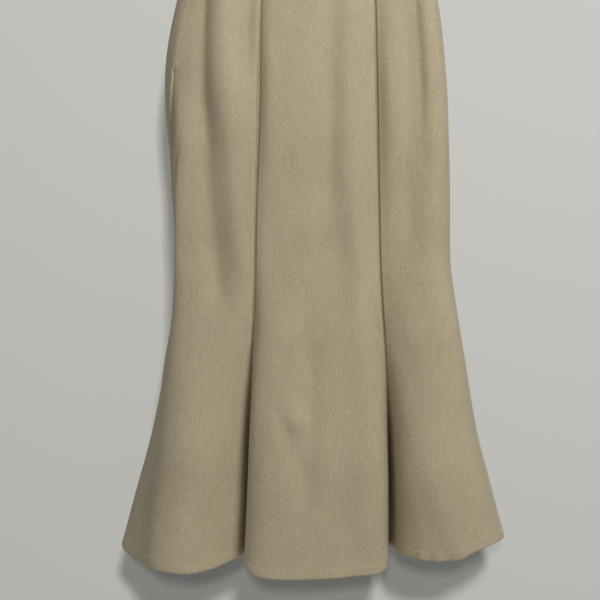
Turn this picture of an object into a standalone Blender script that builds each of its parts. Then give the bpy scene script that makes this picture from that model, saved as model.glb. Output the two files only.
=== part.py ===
"""A long fitted skirt with a fishtail hem, hanging from its waist.

Metres, +Z up. The origin is the middle of the waist opening, level with the top of its side seams.
-Y is the front and +Y the back. Left and right are the wearer's, so the right side is at -X.

Six gores are joined by two side seams and four princess seams. They are fitted as far as the knee,
and below it each gore swells into a flute, with its seams drawn back into valleys. Every level of
the skirt is a closed section made of one curve for each gore, and a gore's wall is the stack of
those curves from the waistband down to its hem.
"""

import math
from collections import namedtuple

import bpy
import numpy as np
from mathutils import Matrix, Vector

# ------------------------------------------------------------------ driving dimensions

CLOTH = 0.0012              # thickness of the cloth wall
TURN_UP = 0.013             # depth of the hem turned up inside
TURN_UP_CLOTH = 0.0008      # what the turned-up layer adds to the wall
SEAM_GAP = 0.0003           # space between two pieces where they meet
MITRE_LIMIT = 2.0           # longest mitre at a sharp seam, in wall thicknesses

WAIST_SAG = 0.012           # dip of the waist between its two side seams
WAIST_HALF_WIDTH = 0.157
BAND_HEIGHT = 0.035
BAND_OUTSIDE = 0.0006       # how far the band stands proud of the gores
BAND_THICKNESS = 0.0024

KNEE = -0.46                # level where the flutes begin
HEM = -0.885                # level where the flutes are full
FLUTE_POWER = 1.1           # how slowly the flutes begin below the knee
FLUTE_FLATNESS = 0.9        # how flat the flutes' tops are: 0 round, 1 flattest
FLAT_LENGTH = 0.12          # length over which they become flat

ZIP_LENGTH = 0.20
ZIP_TOP = 0.004             # from the waist's top edge to the tape's end
TAPE_HALF_WIDTH = 0.012
TAPE_THICKNESS = 0.0008
TAPE_GAP = 0.0007           # space between the tape and the wall in front of it
TAPE_ROWS = 14
COIL_HALF_WIDTH = 0.0018
COIL_HEIGHT = 0.0012

SLIDER_DROP = 0.012         # from the waist's top edge to the slider's middle
SLIDER_LENGTH = 0.010
SLIDER_WIDTH = 0.0065
SLIDER_PLATE = 0.0016
SLIDER_CORNER = 0.0016      # how much the plate's two upper corners are cut off
BRIDGE_LENGTH = 0.0070      # outside length of the slider's bridge
BRIDGE_HEIGHT = 0.0032      # outside height above the plate
BRIDGE_SLOPE = 0.0012       # how much each of its outer corners is cut off
BRIDGE_BAR = 0.0009
BRIDGE_WIDTH = 0.0018
HINGE_HEIGHT = 0.00115      # from the slider's plate to the pull's axis
PULL_LENGTH = 0.024         # from the hinge's axis to the tip
PULL_THICKNESS = 0.0010
PULL_BAR = 0.0010           # the bar that passes under the bridge
PULL_HOLE = 0.0050          # from the hinge's axis to the far end of the hole
PULL_HOLE_HALF_WIDTH = 0.0013
PULL_TOP_HALF_WIDTH = 0.0024
PULL_TIP_HALF_WIDTH = 0.0034
PULL_TIP_CORNER = 0.00255   # how far above the tip its corners start to be cut off
PULL_TIP_CORNER_WIDTH = 0.00238     # half width midway down the cut corners
PULL_TIP_CORNER_HEIGHT = 0.00085    # and how far above the tip that is

# Grid of each wall.
GORE_COLUMNS = 16
GORE_ROWS = 22
BAND_COLUMNS = 14           # over each gore
BAND_ROWS = 2
CURVE_STEPS = 48            # straight steps that measure a gore's curve at one level

# ------------------------------------------------------------------ seam lines and sections

# Where each seam runs from the waist to the hem, and the directions of the fitted section just
# before it and just after it, in degrees anticlockwise from +X seen from above.
Station = namedtuple("Station", "level x y before after")
SEAM_LINES = {
    "side_right": [
        Station(0.000, -0.1485, -0.0170, 318, 330),
        Station(-0.102, -0.1675, -0.0310, 318, 338),
        Station(-0.190, -0.1828, -0.0360, 314, 338),
        Station(-0.260, -0.1886, -0.0310, 302, 326),
        Station(-0.360, -0.1900, -0.0110, 280, 290),
        Station(-0.460, -0.1845, 0.0020, 272, 272),
        Station(-0.530, -0.1868, 0.0040, 272, 272),
        Station(-0.620, -0.2017, 0.0040, 270, 272),
        Station(-0.710, -0.2198, 0.0040, 266, 276),
        Station(-0.800, -0.2445, 0.0040, 258, 296),
        Station(-0.877, -0.2651, 0.0040, 252, 315),
    ],
    "front_right": [
        Station(0.000, -0.0470, -0.0320, 355, 343),
        Station(-0.115, -0.0631, -0.0520, 364, 330),
        Station(-0.260, -0.0667, -0.0600, 364, 332),
        Station(-0.400, -0.0702, -0.0580, 360, 338),
        Station(-0.500, -0.0720, -0.0520, 366, 325),
        Station(-0.600, -0.0762, -0.0460, 374, 292),
        Station(-0.700, -0.0804, -0.0400, 380, 274),
        Station(-0.800, -0.0843, -0.0360, 384, 268),
        Station(-0.882, -0.0881, -0.0340, 387, 264),
    ],
    "front_left": [
        Station(0.000, 0.0761, -0.0280, 18, 0),
        Station(-0.115, 0.0933, -0.0440, 26, -8),
        Station(-0.260, 0.0957, -0.0480, 26, -8),
        Station(-0.400, 0.0985, -0.0440, 24, -8),
        Station(-0.500, 0.1011, -0.0420, 30, -12),
        Station(-0.600, 0.1070, -0.0400, 38, -30),
        Station(-0.700, 0.1123, -0.0360, 44, -50),
        Station(-0.800, 0.1143, -0.0320, 48, -58),
        Station(-0.878, 0.1149, -0.0280, 52, -60),
    ],
    "side_left": [
        Station(0.000, 0.1515, 0.0120, 112, 116),
        Station(-0.102, 0.1795, 0.0200, 106, 112),
        Station(-0.190, 0.1920, 0.0230, 101, 110),
        Station(-0.260, 0.1987, 0.0220, 96, 107),
        Station(-0.360, 0.2012, 0.0180, 95, 103),
        Station(-0.460, 0.2011, 0.0130, 95, 100),
        Station(-0.530, 0.2092, 0.0100, 92, 102),
        Station(-0.620, 0.2250, 0.0080, 90, 104),
        Station(-0.710, 0.2410, 0.0060, 87, 106),
        Station(-0.800, 0.2644, 0.0050, 82, 109),
        Station(-0.865, 0.2810, 0.0040, 78, 112),
    ],
    "back_left": [
        Station(0.000, 0.0580, 0.0340, 170, 170),
        Station(-0.115, 0.0740, 0.0540, 170, 170),
        Station(-0.260, 0.0790, 0.0640, 170, 170),
        Station(-0.400, 0.0820, 0.0620, 170, 170),
        Station(-0.500, 0.0850, 0.0570, 170, 170),
        Station(-0.600, 0.0900, 0.0480, 170, 170),
        Station(-0.700, 0.0950, 0.0380, 170, 170),
        Station(-0.800, 0.1000, 0.0290, 170, 170),
        Station(-0.880, 0.1030, 0.0230, 170, 170),
    ],
    "back_right": [
        Station(0.000, -0.0660, 0.0340, 190, 190),
        Station(-0.115, -0.0840, 0.0540, 190, 190),
        Station(-0.260, -0.0900, 0.0630, 190, 190),
        Station(-0.400, -0.0900, 0.0610, 190, 190),
        Station(-0.500, -0.0900, 0.0560, 190, 190),
        Station(-0.600, -0.0920, 0.0480, 190, 190),
        Station(-0.700, -0.0950, 0.0380, 190, 190),
        Station(-0.800, -0.0990, 0.0310, 190, 190),
        Station(-0.880, -0.1030, 0.0270, 190, 190),
    ],
}

# The directions at the hem, just before each seam and just after it.
Turn = namedtuple("Turn", "before after")
HEM_TURNS = {
    "side_right": Turn(252, 315),
    "front_right": Turn(388, 263),
    "front_left": Turn(54, -60),
    "side_left": Turn(76, 112),
    "back_left": Turn(250, 100),
    "back_right": Turn(260, 110),
}

# The six gores in the order of the section, each from one seam to the next. Its reaches are the
# lengths of its curve's two handles as shares of the straight line between the seams, and below
# its last level the curve's top grows flat.
Gore = namedtuple("Gore", "name start end fitted_start fitted_end hem_start hem_end flat_from")
GORES = [
    Gore("gore_front_right", "side_right", "front_right", 0.30, 0.26, 0.45, 0.58, -0.22),
    Gore("gore_front_center", "front_right", "front_left", 0.14, 0.16, 0.32, 0.24, KNEE),
    Gore("gore_front_left", "front_left", "side_left", 0.45, 0.60, 0.32, 0.50, KNEE),
    Gore("gore_back_left", "side_left", "back_left", 0.48, 0.36, 0.60, 0.66, KNEE),
    Gore("gore_back_center", "back_left", "back_right", 0.34, 0.34, 0.54, 0.48, KNEE),
    Gore("gore_back_right", "back_right", "side_right", 0.38, 0.56, 0.66, 0.60, KNEE),
]

# Level of each gore's hem edge, by its share of the way across the gore.
HemPoint = namedtuple("HemPoint", "across level")
HEM_LINES = {
    "gore_front_right": [
        HemPoint(0.0, -0.8710), HemPoint(0.05, -0.8781), HemPoint(0.12, -0.8821),
        HemPoint(0.22, -0.8861), HemPoint(0.36, -0.8892), HemPoint(0.50, -0.8920),
        HemPoint(0.62, -0.8945), HemPoint(0.75, -0.8920), HemPoint(0.88, -0.8834),
        HemPoint(1.0, -0.8745),
    ],
    "gore_front_center": [
        HemPoint(0.0, -0.8745), HemPoint(0.09, -0.8850), HemPoint(0.15, -0.8905),
        HemPoint(0.28, -0.8978), HemPoint(0.45, -0.9000), HemPoint(0.62, -0.8998),
        HemPoint(0.78, -0.8983), HemPoint(0.90, -0.8965), HemPoint(0.95, -0.8930),
        HemPoint(1.0, -0.8680),
    ],
    "gore_front_left": [
        HemPoint(0.0, -0.8680), HemPoint(0.08, -0.8740), HemPoint(0.16, -0.8750),
        HemPoint(0.30, -0.8785), HemPoint(0.45, -0.8760), HemPoint(0.60, -0.8625),
        HemPoint(0.75, -0.8560), HemPoint(1.0, -0.8585),
    ],
    "gore_back_left": [
        HemPoint(0.0, -0.8585), HemPoint(0.2, -0.8740), HemPoint(0.5, -0.8860),
        HemPoint(0.85, -0.8850), HemPoint(1.0, -0.8800),
    ],
    "gore_back_center": [
        HemPoint(0.0, -0.8800), HemPoint(0.2, -0.8920), HemPoint(0.5, -0.8960),
        HemPoint(0.8, -0.8920), HemPoint(1.0, -0.8800),
    ],
    "gore_back_right": [
        HemPoint(0.0, -0.8800), HemPoint(0.2, -0.8880), HemPoint(0.5, -0.8900),
        HemPoint(0.85, -0.8820), HemPoint(1.0, -0.8710),
    ],
}

# Soft folds in the gores: a ridge stands out by its depth, and a trough's depth is negative. Each
# runs from one place across the gore to another and fades in and out over its two levels.
Fold = namedtuple("Fold", "gore top_across bottom_across top bottom width depth")
FOLDS = [
    Fold("gore_front_right", 0.19, 0.70, 0.00, -0.56, 0.120, -0.0065),
    Fold("gore_front_right", 0.46, 0.92, 0.00, -0.52, 0.110, 0.0050),
    Fold("gore_front_center", 0.64, 0.60, -0.06, -0.42, 0.085, -0.0040),
    Fold("gore_front_left", 0.28, 0.28, 0.00, -0.46, 0.090, -0.0030),
    Fold("gore_front_left", 0.50, 0.50, 0.00, -0.46, 0.090, 0.0030),
    Fold("gore_back_right", 0.45, 0.35, 0.00, -0.50, 0.140, -0.0035),
    Fold("gore_back_left", 0.50, 0.62, 0.00, -0.52, 0.140, -0.0040),
]
FOLD_FADE = 0.06            # length over which a fold fades in or out
FOLD_SEAM_POWER = 0.5       # how fast the folds die away at the gore's two seams

# Where the cloth stands forward beside one of its gore's seams, most at one distance from it.
Swell = namedtuple("Swell", "gore seam top bottom distance forward")
SWELLS = [
    Swell("gore_front_right", "side_right", -0.21, -0.70, 0.014, 0.0125),
    Swell("gore_front_center", "front_left", -0.68, -1.10, 0.014, 0.0090),
]
SWELL_FADE = 0.10           # length over which a swell fades in or out

# ------------------------------------------------------------------ colours

CLOTH_COLOUR = (0.40, 0.34, 0.24)
TAPE_COLOUR = (0.42, 0.36, 0.27)
METAL_COLOUR = (0.45, 0.40, 0.31)


# ------------------------------------------------------------------ the skirt's surface

def smooth_table(places, values, at):
    """A curve through a table's values, with no overshoot between them."""
    places = np.asarray(places, float)
    values = np.asarray(values, float)
    if places[0] > places[-1]:
        places = places[::-1]
        values = values[::-1]
    steps = np.diff(places)
    slopes = np.diff(values) / steps
    tangents = np.zeros(len(places))
    same_way = slopes[:-1] * slopes[1:] > 0
    mean = 2 * slopes[:-1] * slopes[1:] / np.where(same_way, slopes[:-1] + slopes[1:], 1)
    tangents[1:-1] = np.where(same_way, mean, 0)
    tangents[0] = slopes[0]
    tangents[-1] = slopes[-1]
    at = np.clip(at, places[0], places[-1])
    index = np.clip(np.searchsorted(places, at) - 1, 0, len(steps) - 1)
    step = steps[index]
    u = (at - places[index]) / step
    return (
        (1 + 2 * u) * (1 - u) ** 2 * values[index]
        + u * (1 - u) ** 2 * step * tangents[index]
        + u * u * (3 - 2 * u) * values[index + 1]
        + u * u * (u - 1) * step * tangents[index + 1]
    )


def smooth_step(value):
    """0 below 0, 1 above 1, and a smooth rise between."""
    value = np.clip(value, 0, 1)
    return value * value * (3 - 2 * value)


def unit(vectors):
    """The same vectors with length 1."""
    return vectors / np.linalg.norm(vectors, axis=-1)[..., None]


def flute_share(level):
    """How far the flutes have formed: 0 above the knee, 1 at the hem."""
    share = np.clip((KNEE - level) / (KNEE - HEM), 0, None)
    return share ** FLUTE_POWER


def seam_place(seam, level):
    """The x and y of a seam at each level."""
    rows = SEAM_LINES[seam]
    levels = [row.level for row in rows]
    x = smooth_table(levels, [row.x for row in rows], level)
    y = smooth_table(levels, [row.y for row in rows], level)
    return np.stack([x, y], axis=-1)


def seam_direction(seam, level, before):
    """The section's direction at a seam, on the side before it or after it."""
    rows = SEAM_LINES[seam]
    turns = [row.before if before else row.after for row in rows]
    fitted = smooth_table([row.level for row in rows], turns, level)
    hem = HEM_TURNS[seam].before if before else HEM_TURNS[seam].after
    angle = np.radians(fitted + (hem - fitted) * flute_share(level))
    return np.stack([np.cos(angle), np.sin(angle)], axis=-1)


def gore_handles(gore, level):
    """The four points of the gore's cubic curve at each level."""
    start = seam_place(gore.start, level)
    end = seam_place(gore.end, level)
    chord = np.linalg.norm(end - start, axis=-1)[..., None]
    flute = flute_share(level)[..., None]
    start_reach = gore.fitted_start + (gore.hem_start - gore.fitted_start) * flute
    end_reach = gore.fitted_end + (gore.hem_end - gore.fitted_end) * flute
    start_handle = start + seam_direction(gore.start, level, False) * chord * start_reach
    end_handle = end - seam_direction(gore.end, level, True) * chord * end_reach
    return start, start_handle, end_handle, end


def curve_points(gore, level):
    """The six points of the gore's curve: a cubic's, drawn to its handles where a flute is flat."""
    a, b, c, d = gore_handles(gore, level)
    flat = FLUTE_FLATNESS * smooth_step((gore.flat_from - level) / FLAT_LENGTH)[..., None]
    b_side = 0.4 * a + 0.6 * b
    b_middle = 0.1 * a + 0.6 * b + 0.3 * c
    c_middle = 0.3 * b + 0.6 * c + 0.1 * d
    c_side = 0.6 * c + 0.4 * d
    return [
        a, b_side + (b - b_side) * flat, b_middle + (b - b_middle) * flat,
        c_middle + (c - c_middle) * flat, c_side + (c - c_side) * flat, d,
    ]


def curve_at(points, u):
    """The place at u on the curve that has these points, and the curve's direction there."""
    while len(points) > 2:
        points = [(1 - u) * start + u * end for start, end in zip(points, points[1:])]
    start, end = points
    return (1 - u) * start + u * end, unit(end - start)


def gore_lengths(gore, level):
    """How long the gore's curve is at each level, up to each of its steps."""
    points = [point[..., None, :] for point in curve_points(gore, level)]
    curve, _ = curve_at(points, np.linspace(0, 1, CURVE_STEPS + 1)[:, None])
    steps = np.linalg.norm(np.diff(curve, axis=-2), axis=-1)
    return np.concatenate([np.zeros(steps.shape[:-1] + (1,)), np.cumsum(steps, axis=-1)], axis=-1)


def fold_height(gore, across, level):
    """How far the soft folds lift the cloth at each point."""
    height = np.zeros(np.shape(across))
    for fold in FOLDS:
        if fold.gore != gore.name:
            continue
        down = np.clip((fold.top - level) / (fold.top - fold.bottom), 0, 1)
        middle = fold.top_across + (fold.bottom_across - fold.top_across) * down
        fade = smooth_step(np.minimum(fold.top - level, level - fold.bottom) / FOLD_FADE)
        height += fold.depth * fade * np.exp(-((across - middle) / fold.width) ** 2)
    return height * np.sin(math.pi * np.clip(across, 0, 1)) ** FOLD_SEAM_POWER


def swell_forward(gore, across, level, width):
    """How far forward the cloth stands beside its seams at each point."""
    forward = np.zeros(np.shape(across))
    for swell in SWELLS:
        if swell.gore != gore.name:
            continue
        fade = smooth_step(np.minimum(swell.top - level, level - swell.bottom) / SWELL_FADE)
        from_seam = across if swell.seam == gore.start else 1 - across
        distance = from_seam * width / swell.distance
        forward += swell.forward * fade * distance * np.exp(1 - distance)
    return forward


def gore_point(gore, across, level):
    """The gore's outer surface at equal shares of its curve's length."""
    lengths = gore_lengths(gore, level)
    wanted = across * lengths[..., -1]
    step = np.clip((lengths <= wanted[..., None]).sum(axis=-1) - 1, 0, CURVE_STEPS - 1)
    low = np.take_along_axis(lengths, step[..., None], axis=-1)[..., 0]
    high = np.take_along_axis(lengths, step[..., None] + 1, axis=-1)[..., 0]
    u = (step + (wanted - low) / (high - low)) / CURVE_STEPS
    point, direction = curve_at(curve_points(gore, level), u[..., None])
    outward = np.stack([direction[..., 1], -direction[..., 0]], axis=-1)
    point = point + outward * fold_height(gore, across, level)[..., None]
    x = point[..., 0]
    y = point[..., 1] - swell_forward(gore, across, level, lengths[..., -1])
    return np.stack([x, y, level], axis=-1)


def waist_level(gore, across):
    """The level of the waist's top edge, which sags between the side seams."""
    x = gore_point(gore, across, np.zeros(np.shape(across)))[..., 0]
    return -WAIST_SAG * np.clip(1 - (x / WAIST_HALF_WIDTH) ** 2, 0, 1)


def hem_level(gore, across):
    """The level of the gore's hem edge."""
    rows = HEM_LINES[gore.name]
    return smooth_table([row.across for row in rows], [row.level for row in rows], across)


def outward_normals(grid):
    """The outward normal at each point of a grid of (rows down, columns across)."""
    down = np.gradient(grid, axis=0)
    across = np.gradient(grid, axis=1)
    return unit(np.cross(down, across))


# ------------------------------------------------------------------ walls

def gore_grid(gore):
    """The gore's outer points, with the hem's turn-up marked off by its own rows."""
    across = np.linspace(0, 1, GORE_COLUMNS + 1)
    top = waist_level(gore, across) - BAND_HEIGHT - SEAM_GAP
    bottom = hem_level(gore, across)
    turn_up_top = bottom + TURN_UP
    down = np.linspace(0, 1, GORE_ROWS + 1)[:, None]
    body = top + (turn_up_top - top) * down
    step = turn_up_top - SEAM_GAP
    levels = np.vstack([body, step[None], bottom[None]])
    return gore_point(gore, np.broadcast_to(across, levels.shape), levels)


def edge_points(edge, normals, own_normals, into_piece, depth):
    """A wall's edge at one depth below its outer surface, mitred against its neighbour."""
    inward = unit(-normals)
    facing = np.clip(np.sum(inward * -own_normals, axis=-1), 1 / MITRE_LIMIT, None)[:, None]
    side = unit(into_piece - np.sum(into_piece * inward, axis=-1)[:, None] * inward)
    return edge + inward * (depth[:, None] / facing) + side * SEAM_GAP / 2


def wall_layers(grid, depths, seam_normals):
    """The grid moved inwards by each row's depth, with mitred first and last columns."""
    normals = outward_normals(grid)
    layer = grid - normals * depths[:, None, None]
    for column, neighbour in ((0, 1), (-1, -2)):
        layer[:, column] = edge_points(
            grid[:, column], seam_normals[column], normals[:, column],
            grid[:, neighbour] - grid[:, column], depths,
        )
    return layer


def wall_faces(rows, columns):
    """Quads of a closed wall whose outer points come first and its inner points after them."""
    inner = rows * columns
    faces = []
    for row in range(rows - 1):
        for column in range(columns - 1):
            a = row * columns + column
            b = a + columns
            faces.append((a, b, b + 1, a + 1))
            faces.append((inner + a, inner + a + 1, inner + b + 1, inner + b))
    for row in range(rows - 1):
        first = row * columns
        last = first + columns - 1
        faces.append((first, inner + first, inner + first + columns, first + columns))
        faces.append((last, last + columns, inner + last + columns, inner + last))
    bottom = (rows - 1) * columns
    for column in range(columns - 1):
        faces.append((column, column + 1, inner + column + 1, inner + column))
        a = bottom + column
        faces.append((a, inner + a, inner + a + 1, a + 1))
    return faces


def add_object(name, points, faces, material):
    """One named piece made from its points and faces."""
    mesh = bpy.data.meshes.new(name)
    mesh.from_pydata([tuple(map(float, point)) for point in points], [], faces)
    mesh.shade_smooth()
    mesh.set_sharp_from_angle(angle=math.radians(40))
    mesh.materials.append(material)
    piece = bpy.data.objects.new(name, mesh)
    bpy.context.scene.collection.objects.link(piece)
    return piece


def add_wall(name, outer, inner, material):
    """A closed wall between two grids of the same shape."""
    rows, columns = outer.shape[:2]
    points = np.concatenate([outer.reshape(-1, 3), inner.reshape(-1, 3)])
    return add_object(name, points, wall_faces(rows, columns), material)


def add_gores(material):
    """The six gores, each mitred against its two neighbours."""
    grids = [gore_grid(gore) for gore in GORES]
    normals = [outward_normals(grid) for grid in grids]
    for index, gore in enumerate(GORES):
        after = (index + 1) % len(GORES)
        seam_normals = {
            0: normals[index][:, 0] + normals[index - 1][:, -1],
            -1: normals[index][:, -1] + normals[after][:, 0],
        }
        rows = len(grids[index])
        outer = wall_layers(grids[index], np.zeros(rows), seam_normals)
        depths = np.full(rows, CLOTH)
        depths[-2:] += TURN_UP_CLOTH
        inner = wall_layers(grids[index], depths, seam_normals)
        add_wall(gore.name, outer, inner, material)


# ------------------------------------------------------------------ waistband

def band_grid(gores):
    """The band's points over a run of neighbouring gores, from its top edge down."""
    below = np.linspace(0, BAND_HEIGHT, BAND_ROWS + 1)[:, None]
    strips = []
    for index, gore in enumerate(gores):
        across = np.linspace(0, 1, BAND_COLUMNS + 1)
        if index:
            across = across[1:]
        levels = waist_level(gore, across) - below
        strips.append(gore_point(gore, np.broadcast_to(across, levels.shape), levels))
    return np.concatenate(strips, axis=1)


def add_waistband(material):
    """The band's front and back halves, which meet at the side seams."""
    halves = {"waistband_front": GORES[:3], "waistband_back": GORES[3:]}
    grids = {name: band_grid(gores) for name, gores in halves.items()}
    normals = {name: outward_normals(grid) for name, grid in grids.items()}
    for name, other in (
        ("waistband_front", "waistband_back"),
        ("waistband_back", "waistband_front"),
    ):
        seam_normals = {
            0: normals[name][:, 0] + normals[other][:, -1],
            -1: normals[name][:, -1] + normals[other][:, 0],
        }
        rows = BAND_ROWS + 1
        outer = wall_layers(grids[name], np.full(rows, -BAND_OUTSIDE), seam_normals)
        inner = wall_layers(
            grids[name], np.full(rows, BAND_THICKNESS - BAND_OUTSIDE), seam_normals
        )
        add_wall(name, outer, inner, material)


# ------------------------------------------------------------------ zip

def zip_strip(offsets, levels):
    """Points of the cloth on both sides of the right side seam, at distances across it."""
    grid = np.empty((len(levels), len(offsets), 3))
    for row, level in enumerate(levels):
        for column, offset in enumerate(offsets):
            gore = GORES[0] if offset >= 0 else GORES[-1]
            length = gore_lengths(gore, level)[-1]
            across = offset / length if offset >= 0 else 1 + offset / length
            grid[row, column] = gore_point(gore, np.array(across), np.array(level))
    return grid


def add_zip_tape(material):
    """The closed zip's tape behind the right side seam, with its coil as a ridge inside."""
    offsets = np.array([
        -TAPE_HALF_WIDTH, -TAPE_HALF_WIDTH / 2, -COIL_HALF_WIDTH, 0.0,
        COIL_HALF_WIDTH, TAPE_HALF_WIDTH / 2, TAPE_HALF_WIDTH,
    ])
    levels = np.linspace(-ZIP_TOP, -ZIP_TOP - ZIP_LENGTH, TAPE_ROWS + 1)
    grid = zip_strip(offsets, levels)
    normals = outward_normals(grid)
    behind_band = levels > -BAND_HEIGHT - TAPE_HALF_WIDTH / 2
    behind = np.where(behind_band, BAND_THICKNESS - BAND_OUTSIDE, CLOTH) + TAPE_GAP
    thickness = TAPE_THICKNESS + np.where(np.abs(offsets) < COIL_HALF_WIDTH, COIL_HEIGHT, 0)
    outer = grid - normals * behind[:, None, None]
    inner = outer - normals * thickness[None, :, None]
    add_wall("zip_tape", outer, inner, material)


def zip_axes():
    """The slider's middle on the cloth's surface, and the directions across, up and out."""
    reach = SLIDER_WIDTH / 2
    grid = zip_strip(np.array([-reach, 0.0, reach]), -SLIDER_DROP + np.array([reach, 0, -reach]))
    out = outward_normals(grid)[1, 1]
    across = grid[1, 2] - grid[1, 0]
    across = unit(across - np.dot(across, out) * out)
    return grid[1, 1], across, np.cross(out, across), out


def slab(outline, cells, low, high):
    """Points and faces of a flat piece: cells of an outline, between two heights."""
    count = len(outline)
    points = [(x, y, low) for x, y in outline] + [(x, y, high) for x, y in outline]
    edges = {(cell[i], cell[(i + 1) % len(cell)]) for cell in cells for i in range(len(cell))}
    faces = [tuple(count + index for index in cell) for cell in cells]
    faces += [tuple(reversed(cell)) for cell in cells]
    faces += [(a, b, count + b, count + a) for a, b in sorted(edges) if (b, a) not in edges]
    return points, faces


def add_small_piece(name, shape, columns, material):
    """A slab placed on the zip, its three directions given as columns of (across, up, out)."""
    middle, across, up, out = zip_axes()
    directions = [(across, up, out)[column] for column in columns]
    points, faces = shape
    placed = [middle + sum(value * way for value, way in zip(point, directions))
              for point in points]
    return add_object(name, placed, faces, material)


def add_zip_slider(material):
    """A plate against the cloth, with an arched bridge that leaves a window under it."""
    base = BAND_OUTSIDE + SEAM_GAP
    x = SLIDER_WIDTH / 2
    y = SLIDER_LENGTH / 2
    cut = SLIDER_CORNER
    plate_outline = [
        (-x, -y), (x, -y), (x, y - cut), (x - cut, y), (cut - x, y), (-x, y - cut),
    ]
    plate = slab(plate_outline, [(0, 1, 2, 3, 4, 5)], base, base + SLIDER_PLATE)
    slider = add_small_piece("zip_slider", plate, (0, 1, 2), material)

    foot = base + SLIDER_PLATE / 2
    top = base + SLIDER_PLATE + BRIDGE_HEIGHT
    half = BRIDGE_LENGTH / 2
    bar = BRIDGE_BAR
    outside = [
        (-half, foot), (-half, top - BRIDGE_SLOPE), (-half + BRIDGE_SLOPE, top),
        (half - BRIDGE_SLOPE, top), (half, top - BRIDGE_SLOPE), (half, foot),
    ]
    inside = [
        (y + (bar if y < 0 else -bar), z - (0 if z == foot else bar * (z == top)))
        for y, z in outside
    ]
    cells = [(i, i + 6, i + 7, i + 1) for i in range(5)]
    arch = slab(outside + inside, cells, -BRIDGE_WIDTH / 2, BRIDGE_WIDTH / 2)
    bridge = add_small_piece("slider_bridge_shape", arch, (1, 2, 0), material)
    bridge.hide_render = True
    bridge.display_type = "WIRE"
    union = slider.modifiers.new("bridge", "BOOLEAN")
    union.operation = "UNION"
    union.object = bridge


def add_zip_pull(material):
    """A tab that hangs from its bar under the bridge, its origin on the hinge's axis."""
    middle, _, _, out = zip_axes()
    height = BAND_OUTSIDE + SEAM_GAP + SLIDER_PLATE + HINGE_HEIGHT
    rows = [
        (PULL_BAR / 2, PULL_TOP_HALF_WIDTH),
        (-PULL_BAR / 2, PULL_TOP_HALF_WIDTH),
        (-PULL_HOLE, PULL_TOP_HALF_WIDTH),
        (-PULL_HOLE - PULL_BAR, PULL_TOP_HALF_WIDTH),
        (-PULL_LENGTH + PULL_TIP_CORNER, PULL_TIP_HALF_WIDTH),
        (-PULL_LENGTH + PULL_TIP_CORNER_HEIGHT, PULL_TIP_CORNER_WIDTH),
        (-PULL_LENGTH, PULL_HOLE_HALF_WIDTH),
    ]
    outline = []
    for y, x in rows:
        middle_strip = x * PULL_HOLE_HALF_WIDTH / PULL_TOP_HALF_WIDTH
        outline += [(-x, y), (-middle_strip, y), (middle_strip, y), (x, y)]
    across = len(outline) // len(rows)
    hole = (1, 1)
    cells = []
    for row in range(len(rows) - 1):
        for column in range(across - 1):
            if (row, column) != hole:
                a = row * across + column
                cells.append((a, a + across, a + across + 1, a + 1))
    shape = slab(outline, cells, height - PULL_THICKNESS / 2, height + PULL_THICKNESS / 2)
    pull = add_small_piece("zip_pull", shape, (0, 1, 2), material)
    hinge = middle + out * height
    pull.data.transform(Matrix.Translation(-Vector(hinge)))
    pull.location = hinge


# ------------------------------------------------------------------ materials

def new_material(name, colour, roughness, metallic=0.0):
    """A plain Principled material."""
    material = bpy.data.materials.new(name)
    material.use_nodes = True
    shader = material.node_tree.nodes["Principled BSDF"]
    shader.inputs["Base Color"].default_value = (*colour, 1)
    shader.inputs["Roughness"].default_value = roughness
    shader.inputs["Metallic"].default_value = metallic
    return material


def main():
    """Build every piece."""
    for old in list(bpy.data.objects):
        bpy.data.objects.remove(old, do_unlink=True)
    cloth = new_material("cloth", CLOTH_COLOUR, 0.85)
    tape = new_material("zip_tape", TAPE_COLOUR, 0.75)
    metal = new_material("zip_metal", METAL_COLOUR, 0.35, metallic=1.0)
    add_gores(cloth)
    add_waistband(cloth)
    add_zip_tape(tape)
    add_zip_slider(metal)
    add_zip_pull(metal)


main()
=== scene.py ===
"""The looks of a long fitted skirt with a fishtail hem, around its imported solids.

Metres, +Z up, in the solids' own frame: the origin is the middle of the waist opening, -Y is the
front, and left and right are the wearer's. The cloth is one thin shell for each gore and for each
half of the waistband, on the solids' seam lines, sections and folds, with finer creases, sewn
seams, a pressed hem and a woven finish.
"""

import math
from collections import namedtuple

import bpy
import numpy as np
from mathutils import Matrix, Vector


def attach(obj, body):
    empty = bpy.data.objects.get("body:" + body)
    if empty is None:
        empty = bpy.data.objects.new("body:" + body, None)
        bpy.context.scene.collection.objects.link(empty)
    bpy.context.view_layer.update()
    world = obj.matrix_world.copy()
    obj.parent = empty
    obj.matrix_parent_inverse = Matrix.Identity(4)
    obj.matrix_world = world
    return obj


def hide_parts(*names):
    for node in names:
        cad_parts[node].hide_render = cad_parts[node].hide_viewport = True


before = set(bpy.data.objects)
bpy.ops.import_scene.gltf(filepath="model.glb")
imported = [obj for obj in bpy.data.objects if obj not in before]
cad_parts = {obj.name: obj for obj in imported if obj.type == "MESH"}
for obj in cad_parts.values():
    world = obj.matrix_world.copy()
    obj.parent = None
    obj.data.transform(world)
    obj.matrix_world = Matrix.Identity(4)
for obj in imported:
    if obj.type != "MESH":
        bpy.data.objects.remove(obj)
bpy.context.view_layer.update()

# ------------------------------------------------------------------ the solids' own dimensions

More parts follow.
